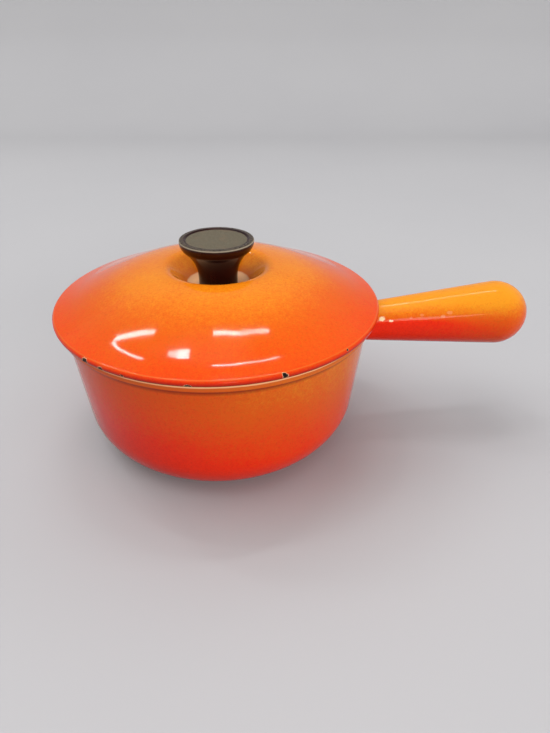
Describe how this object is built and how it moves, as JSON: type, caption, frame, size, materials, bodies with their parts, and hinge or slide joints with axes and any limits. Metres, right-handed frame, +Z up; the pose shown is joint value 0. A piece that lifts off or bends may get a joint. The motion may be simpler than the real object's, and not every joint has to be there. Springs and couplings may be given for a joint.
{
  "type": "enamelled cast iron saucepan with lid",
  "caption": "Round cast iron saucepan with a long flared handle and a domed lift-off lid that carries a flared knob in a central dimple.",
  "frame": {"origin": "centre of the base, on the plane that the pan stands on", "axes": "+Z up, +X from the middle of the pan along the handle"},
  "size_m": [0.2948, 0.195, 0.1258],
  "materials": {
    "pan_enamel": "gloss orange enamel on cast iron",
    "lid_enamel": "gloss orange enamel on cast iron",
    "knob_phenolic": "dark moulded phenolic, worn on top",
    "insert_brass": "machined",
    "fastener_steel": "zinc plated"
  },
  "bodies": {
    "pan": {"saucepan_body": "pan_enamel"},
    "lid": {"lid": "lid_enamel", "knob": "knob_phenolic", "knob_insert": "insert_brass", "knob_screw": "fastener_steel", "screw_washer": "fastener_steel", "lock_washer": "fastener_steel"}
  },
  "joints": [
    {"name": "lid_lift", "type": "slide", "parent": "pan", "child": "lid", "axis": [0, 0, 1], "range_m": [0, 0.12]}
  ]
}
